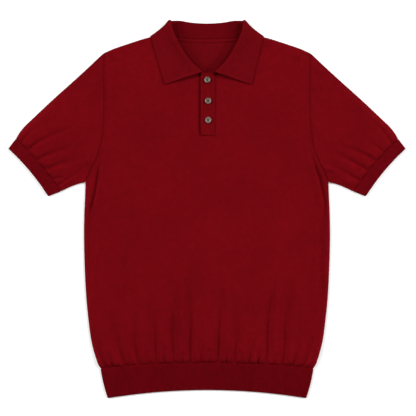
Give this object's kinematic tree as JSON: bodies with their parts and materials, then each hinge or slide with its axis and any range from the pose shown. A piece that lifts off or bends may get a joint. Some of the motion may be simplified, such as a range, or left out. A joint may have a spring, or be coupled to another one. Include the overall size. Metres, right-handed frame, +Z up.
{
  "type": "polo shirt",
  "caption": "Short-sleeved knitted polo shirt laid flat, face up, with a fold-down collar, a buttoned placket, ribbed cuffs and a ribbed waistband.",
  "frame": {"origin": "on the surface the shirt lies on, under the middle of its outline", "axes": "+Z up off the surface, +X towards the wearer's left sleeve, +Y towards the neck"},
  "size_m": [0.794, 0.7556, 0.0105],
  "materials": {
    "body_knit": "fine plain-knit cotton, matt",
    "rib_knit": "ribbed cotton, matt",
    "collar_knit": "firm knitted cotton, matt",
    "button": "polished horn-effect resin"
  },
  "bodies": {
    "root": {"front": "body_knit", "back": "body_knit", "sleeve_left": "body_knit", "sleeve_right": "body_knit", "cuff_left": "rib_knit", "cuff_right": "rib_knit", "hem_rib": "rib_knit", "collar": "collar_knit", "placket_upper": "body_knit", "placket_under": "body_knit", "button_1": "button", "button_2": "button", "button_3": "button"}
  },
  "joints": []
}
